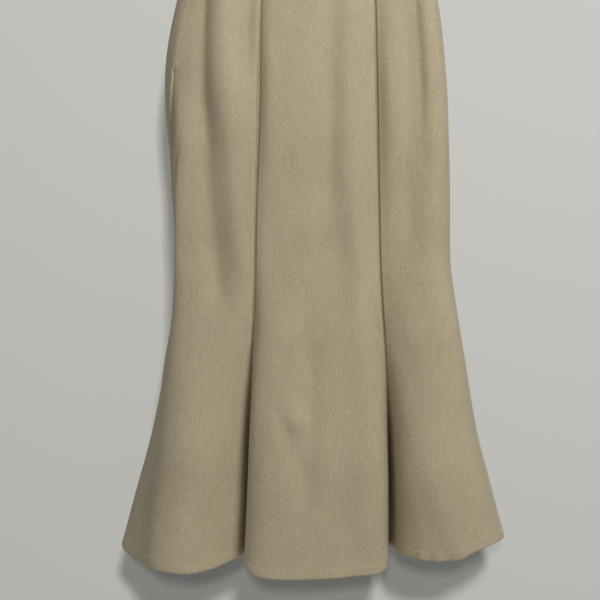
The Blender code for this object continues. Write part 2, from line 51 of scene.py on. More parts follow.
CLOTH = 0.0012              # thickness of the cloth wall
TURN_UP = 0.013             # depth of the hem turned up inside
TURN_UP_CLOTH = 0.0008      # what the turned-up layer adds to the wall
SEAM_GAP = 0.0003           # space between two solids where they meet
MITRE_LIMIT = 2.0           # longest mitre at a sharp seam, in wall thicknesses
WAIST_SAG = 0.012           # dip of the waist between its two side seams
WAIST_HALF_WIDTH = 0.157
BAND_HEIGHT = 0.035
BAND_OUTSIDE = 0.0006       # how far the band stands proud of the gores
BAND_THICKNESS = 0.0024
KNEE = -0.46                # level where the flutes begin
HEM = -0.885                # level where the flutes are full
FLUTE_POWER = 1.1           # how slowly the flutes begin below the knee
FLUTE_FLATNESS = 0.9        # how flat the flutes' tops are: 0 round, 1 flattest
FLAT_LENGTH = 0.12          # length over which they become flat
CURVE_STEPS = 48            # straight steps that measure a gore's curve at one level

ZIP_LENGTH = 0.20
ZIP_TOP = 0.004             # from the waist's top edge to the tape's end

# Where each seam runs from the waist to the hem, and the directions of the fitted section just
# before it and just after it, in degrees anticlockwise from +X seen from above.
Station = namedtuple("Station", "level x y before after")
SEAM_LINES = {
    "side_right": [
        (0.000, -0.1485, -0.0170, 318, 330),
        (-0.102, -0.1675, -0.0310, 318, 338),
        (-0.190, -0.1828, -0.0360, 314, 338),
        (-0.260, -0.1886, -0.0310, 302, 326),
        (-0.360, -0.1900, -0.0110, 280, 290),
        (-0.460, -0.1845, 0.0020, 272, 272),
        (-0.530, -0.1868, 0.0040, 272, 272),
        (-0.620, -0.2017, 0.0040, 270, 272),
        (-0.710, -0.2198, 0.0040, 266, 276),
        (-0.800, -0.2445, 0.0040, 258, 296),
        (-0.877, -0.2651, 0.0040, 252, 315),
    ],
    "front_right": [
        (0.000, -0.0470, -0.0320, 355, 343),
        (-0.115, -0.0631, -0.0520, 364, 330),
        (-0.260, -0.0667, -0.0600, 364, 332),
        (-0.400, -0.0702, -0.0580, 360, 338),
        (-0.500, -0.0720, -0.0520, 366, 325),
        (-0.600, -0.0762, -0.0460, 374, 292),
        (-0.700, -0.0804, -0.0400, 380, 274),
        (-0.800, -0.0843, -0.0360, 384, 268),
        (-0.882, -0.0881, -0.0340, 387, 264),
    ],
    "front_left": [
        (0.000, 0.0761, -0.0280, 18, 0),
        (-0.115, 0.0933, -0.0440, 26, -8),
        (-0.260, 0.0957, -0.0480, 26, -8),
        (-0.400, 0.0985, -0.0440, 24, -8),
        (-0.500, 0.1011, -0.0420, 30, -12),
        (-0.600, 0.1070, -0.0400, 38, -30),
        (-0.700, 0.1123, -0.0360, 44, -50),
        (-0.800, 0.1143, -0.0320, 48, -58),
        (-0.878, 0.1149, -0.0280, 52, -60),
    ],
    "side_left": [
        (0.000, 0.1515, 0.0120, 112, 116),
        (-0.102, 0.1795, 0.0200, 106, 112),
        (-0.190, 0.1920, 0.0230, 101, 110),
        (-0.260, 0.1987, 0.0220, 96, 107),
        (-0.360, 0.2012, 0.0180, 95, 103),
        (-0.460, 0.2011, 0.0130, 95, 100),
        (-0.530, 0.2092, 0.0100, 92, 102),
        (-0.620, 0.2250, 0.0080, 90, 104),
        (-0.710, 0.2410, 0.0060, 87, 106),
        (-0.800, 0.2644, 0.0050, 82, 109),
        (-0.865, 0.2810, 0.0040, 78, 112),
    ],
    "back_left": [
        (0.000, 0.0580, 0.0340, 170, 170),
        (-0.115, 0.0740, 0.0540, 170, 170),
        (-0.260, 0.0790, 0.0640, 170, 170),
        (-0.400, 0.0820, 0.0620, 170, 170),
        (-0.500, 0.0850, 0.0570, 170, 170),
        (-0.600, 0.0900, 0.0480, 170, 170),
        (-0.700, 0.0950, 0.0380, 170, 170),
        (-0.800, 0.1000, 0.0290, 170, 170),
        (-0.880, 0.1030, 0.0230, 170, 170),
    ],
    "back_right": [
        (0.000, -0.0660, 0.0340, 190, 190),
        (-0.115, -0.0840, 0.0540, 190, 190),
        (-0.260, -0.0900, 0.0630, 190, 190),
        (-0.400, -0.0900, 0.0610, 190, 190),
        (-0.500, -0.0900, 0.0560, 190, 190),
        (-0.600, -0.0920, 0.0480, 190, 190),
        (-0.700, -0.0950, 0.0380, 190, 190),
        (-0.800, -0.0990, 0.0310, 190, 190),
        (-0.880, -0.1030, 0.0270, 190, 190),
    ],
}
SEAM_LINES = {seam: [Station(*row) for row in rows] for seam, rows in SEAM_LINES.items()}

# The directions at the hem, just before each seam and just after it.
Turn = namedtuple("Turn", "before after")
HEM_TURNS = {
    "side_right": Turn(252, 315),
    "front_right": Turn(388, 263),
    "front_left": Turn(54, -60),
    "side_left": Turn(76, 112),
    "back_left": Turn(250, 100),
    "back_right": Turn(260, 110),
}

# The six gores in the order of the section, each from one seam to the next. Its reaches are the
# lengths of its curve's two handles as shares of the straight line between the seams, and below
# its last level the curve's top grows flat.
Gore = namedtuple("Gore", "name start end fitted_start fitted_end hem_start hem_end flat_from")
GORES = [
    Gore("gore_front_right", "side_right", "front_right", 0.30, 0.26, 0.45, 0.58, -0.22),
    Gore("gore_front_center", "front_right", "front_left", 0.14, 0.16, 0.32, 0.24, KNEE),
    Gore("gore_front_left", "front_left", "side_left", 0.45, 0.60, 0.32, 0.50, KNEE),
    Gore("gore_back_left", "side_left", "back_left", 0.48, 0.36, 0.60, 0.66, KNEE),
    Gore("gore_back_center", "back_left", "back_right", 0.34, 0.34, 0.54, 0.48, KNEE),
    Gore("gore_back_right", "back_right", "side_right", 0.38, 0.56, 0.66, 0.60, KNEE),
]

# Level of each gore's hem edge, by its share of the way across the gore.
HemPoint = namedtuple("HemPoint", "across level")
HEM_LINES = {
    "gore_front_right": [
        (0.0, -0.8710), (0.05, -0.8781), (0.12, -0.8821), (0.22, -0.8861), (0.36, -0.8892),
        (0.50, -0.8920), (0.62, -0.8945), (0.75, -0.8920), (0.88, -0.8834), (1.0, -0.8745),
    ],
    "gore_front_center": [
        (0.0, -0.8745), (0.09, -0.8850), (0.15, -0.8905), (0.28, -0.8978), (0.45, -0.9000),
        (0.62, -0.8998), (0.78, -0.8983), (0.90, -0.8965), (0.95, -0.8930), (1.0, -0.8680),
    ],
    "gore_front_left": [
        (0.0, -0.8680), (0.08, -0.8740), (0.16, -0.8750), (0.30, -0.8785), (0.45, -0.8760),
        (0.60, -0.8625), (0.75, -0.8560), (1.0, -0.8585),
    ],
    "gore_back_left": [
        (0.0, -0.8585), (0.2, -0.8740), (0.5, -0.8860), (0.85, -0.8850), (1.0, -0.8800),
    ],
    "gore_back_center": [
        (0.0, -0.8800), (0.2, -0.8920), (0.5, -0.8960), (0.8, -0.8920), (1.0, -0.8800),
    ],
    "gore_back_right": [
        (0.0, -0.8800), (0.2, -0.8880), (0.5, -0.8900), (0.85, -0.8820), (1.0, -0.8710),
    ],
}
HEM_LINES = {gore: [HemPoint(*row) for row in rows] for gore, rows in HEM_LINES.items()}

# Soft folds of the solids: a ridge stands out by its depth, and a trough's depth is negative.
# Each runs from one place across the gore at its top level to another at its bottom level, and
# fades in and out at its two ends.
Fold = namedtuple("Fold", "gore top_across bottom_across top bottom width depth")
FOLDS = [
    Fold("gore_front_right", 0.19, 0.70, 0.00, -0.56, 0.120, -0.0065),
    Fold("gore_front_right", 0.46, 0.92, 0.00, -0.52, 0.110, 0.0050),
    Fold("gore_front_center", 0.64, 0.60, -0.06, -0.42, 0.085, -0.0040),
    Fold("gore_front_left", 0.28, 0.28, 0.00, -0.46, 0.090, -0.0030),
    Fold("gore_front_left", 0.50, 0.50, 0.00, -0.46, 0.090, 0.0030),
    Fold("gore_back_right", 0.45, 0.35, 0.00, -0.50, 0.140, -0.0035),
    Fold("gore_back_left", 0.50, 0.62, 0.00, -0.52, 0.140, -0.0040),
]
FOLD_FADE = 0.06            # length over which a fold fades in or out
FOLD_SEAM_POWER = 0.5       # how fast the folds die away at the gore's two seams

# Where the cloth stands forward beside one of its gore's seams, most at one distance from it.
Swell = namedtuple("Swell", "gore seam top bottom distance forward")
SWELLS = [
    Swell("gore_front_right", "side_right", -0.21, -0.70, 0.014, 0.0125),
    Swell("gore_front_center", "front_left", -0.68, -1.10, 0.014, 0.0090),
]
SWELL_FADE = 0.10           # length over which a swell fades in or out

# ------------------------------------------------------------------ finer form of the cloth

# Finer creases, which run as the folds do, and whose depths are negative in a trough too. The
# middle of each bows sideways, and its half widths before and after the middle may differ.
Crease = namedtuple(
    "Crease", "gore top_across bottom_across top bottom bow before after depth")
CREASES = [
    Crease("gore_front_right", 0.31, 0.76, 0.060, -0.360, 0.000, 0.0280, 0.0450, 0.0130),
    Crease("gore_front_right", 0.80, 0.87, 0.060, -0.260, 0.000, 0.0420, 0.0130, -0.0125),
    Crease("gore_front_right", 0.21, 0.21, -0.270, -0.560, 0.000, 0.0060, 0.0220, 0.0060),
    Crease("gore_front_right", 0.25, 0.45, -0.400, -1.050, 0.000, 0.0350, 0.0420, 0.0120),
    Crease("gore_front_center", 0.52, 0.50, -0.020, -0.520, 0.003, 0.0180, 0.0180, -0.0028),
    Crease("gore_front_center", 0.74, 0.84, 0.060, -1.050, 0.000, 0.0180, 0.0140, 0.0036),
    Crease("gore_front_center", 0.46, 0.46, -0.500, -0.860, 0.000, 0.0240, 0.0200, -0.0080),
    Crease("gore_front_center", 0.89, 0.89, -0.180, -0.950, 0.000, 0.0320, 0.0200, 0.0105),
    Crease("gore_front_center", 0.35, 0.36, -0.520, -0.650, 0.000, 0.0070, 0.0080, 0.0014),
    Crease("gore_front_center", 0.20, 0.50, -0.640, -0.800, 0.003, 0.0100, 0.0100, -0.0016),
    Crease("gore_front_center", 0.14, 0.15, -0.640, -1.100, 0.000, 0.0120, 0.0150, -0.0034),
    Crease("gore_front_left", 0.56, 0.55, 0.060, -0.450, 0.002, 0.0120, 0.0120, 0.0018),
    Crease("gore_front_left", 0.30, 0.22, -0.120, -0.360, 0.003, 0.0100, 0.0100, -0.0010),
    Crease("gore_front_left", 0.56, 0.56, 0.060, -0.750, 0.000, 0.0350, 0.0200, 0.0065),
    Crease("gore_front_left", 0.40, 0.39, 0.060, -0.360, 0.000, 0.0200, 0.0070, -0.0060),
    Crease("gore_back_left", 0.30, 0.44, -0.060, -0.330, 0.004, 0.0080, 0.0160, 0.0024),
    Crease("gore_back_left", 0.62, 0.55, -0.420, -0.640, -0.003, 0.0120, 0.0120, -0.0013),
    Crease("gore_back_center", 0.26, 0.36, -0.110, -0.360, -0.004, 0.0110, 0.0170, -0.0016),
    Crease("gore_back_center", 0.70, 0.58, -0.260, -0.620, 0.003, 0.0150, 0.0110, 0.0020),
    Crease("gore_back_right", 0.40, 0.62, -0.050, -0.380, 0.004, 0.0160, 0.0075, 0.0030),
    Crease("gore_back_right", 0.76, 0.66, -0.340, -0.560, 0.003, 0.0110, 0.0110, -0.0012),
]

# Small swollen or dented places, by their middles, their half widths across and down, and how far
# they stand out, which is negative for a dent.
Dent = namedtuple("Dent", "gore across level half_across half_down height")
DENTS = [
    Dent("gore_front_center", 0.35, -0.156, 0.012, 0.014, 0.0012),
    Dent("gore_front_center", 0.45, -0.240, 0.014, 0.022, 0.0010),
    Dent("gore_front_center", 0.40, -0.690, 0.012, 0.018, 0.0065),
    Dent("gore_front_center", 0.62, -0.800, 0.022, 0.026, -0.0016),
    Dent("gore_front_center", 0.30, -0.845, 0.020, 0.018, 0.0010),
    Dent("gore_front_center", 0.50, -0.740, 0.090, 0.090, 0.0100),
    Dent("gore_front_right", 0.62, -0.640, 0.020, 0.030, 0.0014),
    Dent("gore_front_right", 0.55, -0.725, 0.045, 0.060, 0.0090),
    Dent("gore_front_left", 0.34, -0.700, 0.016, 0.024, 0.0012),
    Dent("gore_front_left", 0.16, -0.900, 0.050, 0.100, -0.0050),
    Dent("gore_front_left", 0.36, -0.760, 0.050, 0.070, 0.0100),
    Dent("gore_front_left", 0.42, -0.330, 0.014, 0.020, -0.0010),
    Dent("gore_back_left", 0.40, -0.680, 0.016, 0.026, 0.0018),
    Dent("gore_back_center", 0.48, -0.220, 0.016, 0.020, -0.0014),
    Dent("gore_back_center", 0.60, -0.720, 0.018, 0.024, 0.0022),
    Dent("gore_back_right", 0.55, -0.600, 0.016, 0.024, -0.0014),
]

# Little ruffles at the hem, where the turned-up cloth has more length than its stitches.
Pucker = namedtuple("Pucker", "gore across width height depth")
PUCKERS = [
    Pucker("gore_front_left", 0.24, 0.0045, 0.022, 0.0016),
    Pucker("gore_front_left", 0.30, 0.0040, 0.020, -0.0011),
    Pucker("gore_front_left", 0.35, 0.0040, 0.026, 0.0017),
    Pucker("gore_front_left", 0.41, 0.0045, 0.022, -0.0010),
    Pucker("gore_front_left", 0.49, 0.0050, 0.024, 0.0014),
    Pucker("gore_front_right", 0.30, 0.0070, 0.024, 0.0009),
    Pucker("gore_front_center", 0.66, 0.0040, 0.020, 0.0010),
    Pucker("gore_front_center", 0.74, 0.0050, 0.018, -0.0008),
    Pucker("gore_back_left", 0.34, 0.0050, 0.022, 0.0012),
    Pucker("gore_back_center", 0.42, 0.0045, 0.020, 0.0011),
    Pucker("gore_back_center", 0.50, 0.0050, 0.024, -0.0009),
    Pucker("gore_back_right", 0.58, 0.0050, 0.022, 0.0012),
]

# How far the cloth is drawn back at a seam in the valley between two flutes, the valley's half
# widths before and after the seam, and how far it draws the cloth aside.
Valley = namedtuple("Valley", "depth before after aside")
VALLEYS = {
    "front_right": Valley(0.0160, 0.0070, 0.0070, 0.0042),
    "front_left": Valley(0.0280, 0.0110, 0.0130, 0.0018),
    "back_left": Valley(0.0100, 0.0080, 0.0080, 0.0),
    "back_right": Valley(0.0100, 0.0080, 0.0080, 0.0),
}
VALLEY_TOP = -0.56          # level where the valleys begin
VALLEY_LENGTH = 0.20        # length over which they come to their full depth and width
VALLEY_START_WIDTH = 0.6    # share of their width that they have where they begin
VALLEY_ASIDE_WIDTH = 0.045  # half width over which the cloth is drawn aside
VALLEY_ASIDE_LENGTH = 0.40  # length below the knee over which the cloth comes to be drawn aside

# The soft dip along the side of each seam that lies lower: its depth, what the hip adds to it,
# and its half width.
Dip = namedtuple("Dip", "depth over_hip width")
PLAIN_DIP = Dip(0.0020, 0.0019, 0.0085)
DIPS = {
    "side_right": Dip(0.0020, 0.0002, 0.0085),
    "front_right": Dip(0.0020, 0.0042, 0.0095),
    "front_left": Dip(0.0020, 0.0062, 0.0115),
    "side_left": PLAIN_DIP,
    "back_left": PLAIN_DIP,
    "back_right": PLAIN_DIP,
}
HIP = -0.26                 # level where the hip adds most to the dips
HIP_LENGTH = 0.12           # how far above and below it that reaches
SEAM_RISE_WIDTH = 0.0018    # half width of the dip's other side, over the pressed allowances
SEAM_SHARP = 0.5            # cosine of half a seam's turn where it lies deep in a valley
SEAM_FLAT = 0.95            # the same where the seam lies on a nearly flat face
SEAM_ROLL = 0.0028          # how far the cloth rolls in at the stitches
SEAM_ROLL_WIDTH = 0.0010
ZIP_SEAM_ROLL = 0.0006      # the same over the zip, where the two edges only meet
ZIP_END = 0.006             # length over which the seam closes below the zip
ZIP_SLIT = 0.0005           # from the seam to each edge over the zip
HEM_ROLL = 0.0012           # how far the cloth rolls under at the hem's edge
HEM_ROLL_WIDTH = 0.0009
HEM_STEP = 0.00035          # how far the turned-up layer pushes the hem out
HEM_STEP_WIDTH = 0.0015
SLACK = 0.0004              # height of the cloth's slight unevenness
SLACK_WAVES = 9             # how many waves make it up in each gore
SLACK_ACROSS = (0.030, 0.075)   # shortest and longest of their periods across the gore
SLACK_DOWN = (0.12, 0.45)   # and down it
SLACK_SEED = 20
BAND_HOLD = 0.060           # length below the band over which it holds the cloth smooth

# Grid of each gore's shell: the distances of its outer columns from the seam, and of its lowest
# rows from the hem's edge, and how many columns and rows lie between.
EDGE_STEPS = [0.0, 0.0002, 0.0005, 0.0009, 0.0014, 0.0021, 0.0031, 0.0045, 0.0063, 0.0085]
HEM_STEPS = [
    0.0, 0.0004, 0.0010, 0.0020, 0.0035, 0.0055, 0.0075, 0.0095, 0.0110, 0.0120, 0.0130,
    0.0140, 0.0152, 0.0175, 0.0205,
]
MIDDLE_COLUMNS = 84
BODY_ROWS = 236
SHARP_ANGLE = 40            # edges that turn by more degrees than this aren't shaded smooth


# ------------------------------------------------------------------ the skirt's surface

def smooth_table(places, values, at):
    """A curve through a table's values, with no overshoot between them."""
    places = np.asarray(places, float)
    values = np.asarray(values, float)
    if places[0] > places[-1]:
        places = places[::-1]
        values = values[::-1]
    steps = np.diff(places)
    slopes = np.diff(values) / steps
    tangents = np.zeros(len(places))
    same_way = slopes[:-1] * slopes[1:] > 0
    mean = 2 * slopes[:-1] * slopes[1:] / np.where(same_way, slopes[:-1] + slopes[1:], 1)
    tangents[1:-1] = np.where(same_way, mean, 0)
    tangents[0] = slopes[0]
    tangents[-1] = slopes[-1]
    at = np.clip(at, places[0], places[-1])
    index = np.clip(np.searchsorted(places, at) - 1, 0, len(steps) - 1)
    step = steps[index]
    u = (at - places[index]) / step
    return (
        (1 + 2 * u) * (1 - u) ** 2 * values[index]
        + u * (1 - u) ** 2 * step * tangents[index]
        + u * u * (3 - 2 * u) * values[index + 1]
        + u * u * (u - 1) * step * tangents[index + 1]
    )


def rows_of(table, gore):
    """The table's rows that are for this gore."""
    return [row for row in table if row.gore == gore.name]


def smooth_step(value):
    """0 below 0, 1 above 1, and a smooth rise between."""
    value = np.clip(value, 0, 1)
    return value * value * (3 - 2 * value)


def unit(vectors):
    """The same vectors with length 1."""
    return vectors / np.linalg.norm(vectors, axis=-1)[..., None]


def flute_share(level):
    """How far the flutes have formed: 0 above the knee, 1 at the hem."""
    share = np.clip((KNEE - level) / (KNEE - HEM), 0, None)
    return share ** FLUTE_POWER


def seam_place(seam, level):
    """The x and y of a seam at each level."""
    rows = SEAM_LINES[seam]
    levels = [row.level for row in rows]
    x = smooth_table(levels, [row.x for row in rows], level)
    y = smooth_table(levels, [row.y for row in rows], level)
    return np.stack([x, y], axis=-1)


def seam_direction(seam, level, before):
    """The section's direction at a seam, on the side before it or after it."""
    rows = SEAM_LINES[seam]
    turns = [row.before if before else row.after for row in rows]
    fitted = smooth_table([row.level for row in rows], turns, level)
    hem = HEM_TURNS[seam].before if before else HEM_TURNS[seam].after
    angle = np.radians(fitted + (hem - fitted) * flute_share(level))
    return np.stack([np.cos(angle), np.sin(angle)], axis=-1)


def gore_handles(gore, level):
    """The four points of the gore's cubic curve at each level."""
    start = seam_place(gore.start, level)
    end = seam_place(gore.end, level)
    chord = np.linalg.norm(end - start, axis=-1)[..., None]
    flute = flute_share(level)[..., None]
    start_reach = gore.fitted_start + (gore.hem_start - gore.fitted_start) * flute
    end_reach = gore.fitted_end + (gore.hem_end - gore.fitted_end) * flute
    start_handle = start + seam_direction(gore.start, level, False) * chord * start_reach
    end_handle = end - seam_direction(gore.end, level, True) * chord * end_reach
    return start, start_handle, end_handle, end


def curve_points(gore, level):
    """The six points of the gore's curve, drawn to its handles where a flute is flat."""
    a, b, c, d = gore_handles(gore, level)
    flat = FLUTE_FLATNESS * smooth_step((gore.flat_from - level) / FLAT_LENGTH)[..., None]
    b_side = 0.4 * a + 0.6 * b
    b_middle = 0.1 * a + 0.6 * b + 0.3 * c
    c_middle = 0.3 * b + 0.6 * c + 0.1 * d
    c_side = 0.6 * c + 0.4 * d
    return [
        a, b_side + (b - b_side) * flat, b_middle + (b - b_middle) * flat,
        c_middle + (c - c_middle) * flat, c_side + (c - c_side) * flat, d,
    ]


def curve_at(points, u):
    """The place at u on the curve that has these points, and the curve's direction there."""
    while len(points) > 2:
        points = [(1 - u) * start + u * end for start, end in zip(points, points[1:])]
    start, end = points
    return (1 - u) * start + u * end, unit(end - start)


def gore_lengths(gore, level):
    """How long the gore's curve is at each level, up to each of its steps."""
    points = [point[..., None, :] for point in curve_points(gore, level)]
    curve, _ = curve_at(points, np.linspace(0, 1, CURVE_STEPS + 1)[:, None])
    steps = np.linalg.norm(np.diff(curve, axis=-2), axis=-1)
    return np.concatenate([np.zeros(steps.shape[:-1] + (1,)), np.cumsum(steps, axis=-1)], axis=-1)


def fold_height(gore, across, level):
    """How far the soft folds lift the cloth at each point."""
    height = np.zeros(np.shape(across))
    for fold in rows_of(FOLDS, gore):
        down = np.clip((fold.top - level) / (fold.top - fold.bottom), 0, 1)
        middle = fold.top_across + (fold.bottom_across - fold.top_across) * down
        fade = smooth_step(np.minimum(fold.top - level, level - fold.bottom) / FOLD_FADE)
        height += fold.depth * fade * np.exp(-((across - middle) / fold.width) ** 2)
    return height * np.sin(math.pi * np.clip(across, 0, 1)) ** FOLD_SEAM_POWER


def swell_forward(gore, across, level, width):
    """How far forward the cloth stands beside its seams at each point."""
    forward = np.zeros(np.shape(across))
    for swell in rows_of(SWELLS, gore):
        fade = smooth_step(np.minimum(swell.top - level, level - swell.bottom) / SWELL_FADE)
        from_seam = across if swell.seam == gore.start else 1 - across
        distance = from_seam * width / swell.distance
        forward += swell.forward * fade * distance * np.exp(1 - distance)
    return forward


def gore_point(gore, across, level):
    """The gore's outer surface at equal shares of its curve's length."""
    lengths = gore_lengths(gore, level)
    wanted = across * lengths[..., -1]
    step = np.clip((lengths <= wanted[..., None]).sum(axis=-1) - 1, 0, CURVE_STEPS - 1)
    low = np.take_along_axis(lengths, step[..., None], axis=-1)[..., 0]
    high = np.take_along_axis(lengths, step[..., None] + 1, axis=-1)[..., 0]
    u = (step + (wanted - low) / (high - low)) / CURVE_STEPS
    point, direction = curve_at(curve_points(gore, level), u[..., None])
    outward = np.stack([direction[..., 1], -direction[..., 0]], axis=-1)
    point = point + outward * fold_height(gore, across, level)[..., None]
    x = point[..., 0]
    y = point[..., 1] - swell_forward(gore, across, level, lengths[..., -1])
    return np.stack([x, y, level], axis=-1)


def waist_level(gore, across):
    """The level of the waist's top edge, which sags between the side seams."""
    x = gore_point(gore, across, np.zeros(np.shape(across)))[..., 0]
    return -WAIST_SAG * np.clip(1 - (x / WAIST_HALF_WIDTH) ** 2, 0, 1)


def hem_level(gore, across):
    """The level of the gore's hem edge."""
    rows = HEM_LINES[gore.name]
    return smooth_table([row.across for row in rows], [row.level for row in rows], across)


def outward_normals(grid):
    """The outward normal at each point of a grid of (rows down, columns across)."""
    down = np.gradient(grid, axis=0)
    across = np.gradient(grid, axis=1)
    return unit(np.cross(down, across))


# ------------------------------------------------------------------ the gores' shells

def gore_places(gore):
    """Where the grid's points lie on a gore: share across, level, and the width at that level."""
    rough = np.linspace(0, 1, MIDDLE_COLUMNS)
    top = waist_level(gore, rough) - BAND_HEIGHT - SEAM_GAP
    bottom = hem_level(gore, rough)
    body_bottom = bottom + HEM_STEPS[-1]
    down = np.linspace(0, 1, BODY_ROWS)[:, None]
    rough_levels = np.vstack([
        top + (body_bottom - top) * down,
        bottom + np.array(HEM_STEPS[-2::-1])[:, None],
    ])
    width = gore_lengths(gore, rough_levels.mean(axis=1))[..., -1]
    edge = np.array(EDGE_STEPS) / width[:, None]
    share = np.linspace(0, 1, MIDDLE_COLUMNS + 2)[1:-1]
    left = edge[:, -1:]
    across = np.hstack([edge, left + (1 - 2 * left) * share, 1 - edge[:, ::-1]])
    level = np.array([np.interp(places, rough, levels)
                      for places, levels in zip(across, rough_levels)])
    return across, level, gore_lengths(gore, level)[..., -1]


def crease_height(gore, across, level, width):
    """How far the finer creases and the dents lift the cloth."""
    height = np.zeros(across.shape)
    for crease in rows_of(CREASES, gore):
        length = crease.top - crease.bottom
        down = np.clip((crease.top - level) / length, 0, 1)
        middle = crease.top_across + (crease.bottom_across - crease.top_across) * down
        aside = (across - middle) * width - crease.bow * np.sin(math.pi * down)
        fade = smooth_step(np.minimum(crease.top - level, level - crease.bottom) / (length / 3))
        flank = np.where(aside < 0, crease.before, crease.after)
        height += crease.depth * fade * np.exp(-(aside / flank) ** 2)
    for dent in rows_of(DENTS, gore):
        aside = (across - dent.across) * width / dent.half_across
        down = (level - dent.level) / dent.half_down
        height += dent.height * np.exp(-aside ** 2 - down ** 2)
    return height


def hem_height(gore, across, level, width):
    """How far the turned-up layer and its puckers lift the hem."""
    above = level - hem_level(gore, across)
    height = HEM_STEP * smooth_step((TURN_UP - above) / HEM_STEP_WIDTH)
    height -= HEM_ROLL * np.exp(-(above / HEM_ROLL_WIDTH) ** 2)
    for pucker in rows_of(PUCKERS, gore):
        aside = (across - pucker.across) * width / pucker.width
        fade = smooth_step(1 - above / pucker.height)
        height += pucker.depth * np.exp(-aside ** 2) * fade
    return height


def slack_height(index, across, level, width):
    """A slight unevenness of hung cloth: a few long waves in each gore, more up and down it."""
    draw = np.random.default_rng(SLACK_SEED + index)
    height = np.zeros(across.shape)
    aside = (across - 0.5) * width
    for _ in range(SLACK_WAVES):
        period_across = draw.uniform(*SLACK_ACROSS)
        period_down = draw.uniform(*SLACK_DOWN)
        phase = draw.uniform(0, 2 * math.pi)
        height += np.sin(2 * math.pi * (aside / period_across + level / period_down) + phase)
    return SLACK * height / math.sqrt(SLACK_WAVES)


def over_zip(seam, level):
    """1 where the seam is closed by the zip, and 0 elsewhere."""
    above_end = level + ZIP_TOP + ZIP_LENGTH + ZIP_END
    return smooth_step(above_end / ZIP_END) * (seam == "side_right")


def seam_height(gore, across, level, width, flatness):
    """How far the cloth dips along its two seams, less where they lie in a flute's valley."""
    height = np.zeros(across.shape)
    over_hip = np.exp(-((level - HIP) / HIP_LENGTH) ** 2)
    for column, seam, dip_width, distance in (
        (0, gore.start, DIPS[gore.start].width, across * width),
        (-1, gore.end, SEAM_RISE_WIDTH, (1 - across) * width),
    ):
        dip = DIPS[seam].depth + DIPS[seam].over_hip * over_hip
        dip = dip * np.exp(-(distance / dip_width) ** 2)
        roll = np.exp(-(distance / SEAM_ROLL_WIDTH) ** 2)
        zipped = over_zip(seam, level)
        dip = dip * smooth_step((level[0] - level) / BAND_HOLD)
        height -= (dip + SEAM_ROLL * roll) * flatness[column][:, None] * (1 - zipped)
        height -= ZIP_SEAM_ROLL * roll * zipped
    return height


def shifts(gore, across, level, width, flatness):
    """How far the valleys move the cloth aside and back, as vectors."""
    aside = np.zeros(across.shape)
    back = np.zeros(across.shape)
    grown = smooth_step((VALLEY_TOP - level) / VALLEY_LENGTH)
    for column, seam, distance in (
        (0, gore.start, across * width), (-1, gore.end, (1 - across) * width),
    ):
        if seam not in VALLEYS:
            continue
        valley = VALLEYS[seam]
        inwards = -np.sign(SEAM_LINES[seam][0].y)
        half_width = valley.after if column == 0 else valley.before
        half_width = half_width * (VALLEY_START_WIDTH + (1 - VALLEY_START_WIDTH) * grown)
        pinch = valley.depth * np.exp(-(distance / half_width) ** 2)
        back += inwards * pinch * grown * (1 - flatness[column])[:, None]
        drawn = smooth_step((KNEE - level) / VALLEY_ASIDE_LENGTH)
        aside += valley.aside * drawn * np.exp(-(distance / VALLEY_ASIDE_WIDTH) ** 2)
    return np.stack([aside, back, np.zeros(across.shape)], axis=-1)


def wall_faces(rows, columns):
    """Quads of a closed wall whose outer points come first and its inner points after them."""
    inner = rows * columns
    faces = []
    for row in range(rows - 1):
        for column in range(columns - 1):
            a = row * columns + column
            b = a + columns
            faces.append((a, b, b + 1, a + 1))
            faces.append((inner + a, inner + a + 1, inner + b + 1, inner + b))
    for row in range(rows - 1):
        first = row * columns
        last = first + columns - 1
        faces.append((first, inner + first, inner + first + columns, first + columns))
        faces.append((last, last + columns, inner + last + columns, inner + last))
    bottom = (rows - 1) * columns
    for column in range(columns - 1):
        faces.append((column, column + 1, inner + column + 1, inner + column))
        a = bottom + column
        faces.append((a, inner + a, inner + a + 1, a + 1))
    return faces


def add_mesh(name, points, faces, material, grain):
    """One named mesh, with its points' places on the flat cloth as a UV map."""
    mesh = bpy.data.meshes.new(name)
    mesh.from_pydata(points.tolist(), [], faces)
    mesh.shade_smooth()
    mesh.set_sharp_from_angle(angle=math.radians(SHARP_ANGLE))
    mesh.materials.append(material)
    corners = np.empty(len(mesh.loops), np.int32)
    mesh.loops.foreach_get("vertex_index", corners)
    layer = mesh.uv_layers.new(name="grain")
    layer.uv.foreach_set("vector", grain[corners].astype(np.float32).ravel())
    piece = bpy.data.objects.new(name, mesh)
    bpy.context.scene.collection.objects.link(piece)
    return piece


def finish_cloth(piece, node):
    """Puts a cloth piece in the skirt's body, and hides the solid it stands for."""
    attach(piece, "skirt")
    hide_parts(node)


